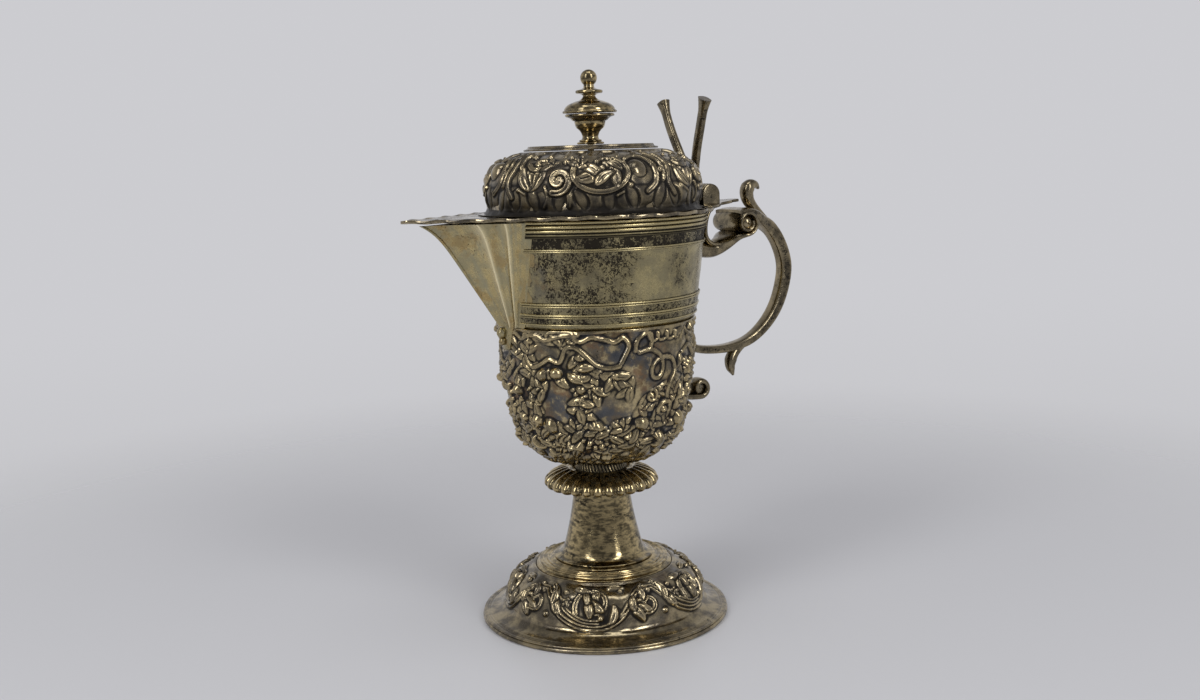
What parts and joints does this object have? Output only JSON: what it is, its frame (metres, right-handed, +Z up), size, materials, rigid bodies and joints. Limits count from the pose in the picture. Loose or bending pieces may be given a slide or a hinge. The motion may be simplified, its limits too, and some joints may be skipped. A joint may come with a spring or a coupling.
{
  "type": "covered ewer",
  "caption": "Covered footed ewer in worn silver gilt: chased bowl on a trumpet stem, beak spout, scroll handle, hinged domed lid with a forked thumbpiece and turned finial.",
  "frame": {"origin": "on the standing plane, under the middle of the overall box; the vessel axis stands 8 mm towards -X from it", "axes": "+Z up the vessel axis, -X towards the spout, +X towards the handle, lid hinge along Y"},
  "size_m": [0.2058, 0.12, 0.261],
  "materials": {
    "bright_gilt": "polished worn gilding with tarnish mottling",
    "wall_gilt": "pale worn gilding with black tarnish specks",
    "spout_gilt": "yellow gilding with grey streaks and pits",
    "bowl_gilt": "chased gilding, bright crests over dark grounds",
    "lid_silver": "chased dark silver with gilt traces",
    "foot_silver": "chased dark silver with gilt traces",
    "handle_gilt": "cast worn gilding, pitted",
    "inner_brass": "plain machined brass"
  },
  "bodies": {
    "vessel": {"foot_rim": "foot_silver", "foot_dome": "foot_silver", "foot_step": "bright_gilt", "stem": "bright_gilt", "stem_washer": "inner_brass", "stem_nut": "inner_brass", "stem_stud": "inner_brass", "gadroon_collar": "bright_gilt", "neck_ring": "bowl_gilt", "bowl_sleeve": "bowl_gilt", "body_wall": "wall_gilt", "rim_moulding": "wall_gilt", "upper_wire": "wall_gilt", "waist_moulding": "wall_gilt", "spout": "spout_gilt", "spout_drop": "spout_gilt", "handle_scroll": "handle_gilt", "handle_bar": "handle_gilt", "handle_leaf": "handle_gilt", "handle_spur": "handle_gilt", "tail_scroll": "handle_gilt", "hinge_bracket": "handle_gilt", "hinge_pin": "inner_brass"},
    "lid": {"lid_plate": "lid_silver", "lid_bezel": "lid_silver", "lid_dome": "lid_silver", "lid_cap": "lid_silver", "lid_knuckle": "handle_gilt", "thumb_fork": "handle_gilt", "finial_vase": "bright_gilt", "finial_knop": "bright_gilt", "finial_washer": "inner_brass", "finial_nut": "inner_brass", "finial_stud": "inner_brass"}
  },
  "joints": [
    {"name": "lid_hinge", "type": "hinge", "parent": "vessel", "child": "lid", "pos_m": [0.0505, 0, 0.2012], "axis": [0, 1, 0], "range_deg": [0, 100]}
  ]
}
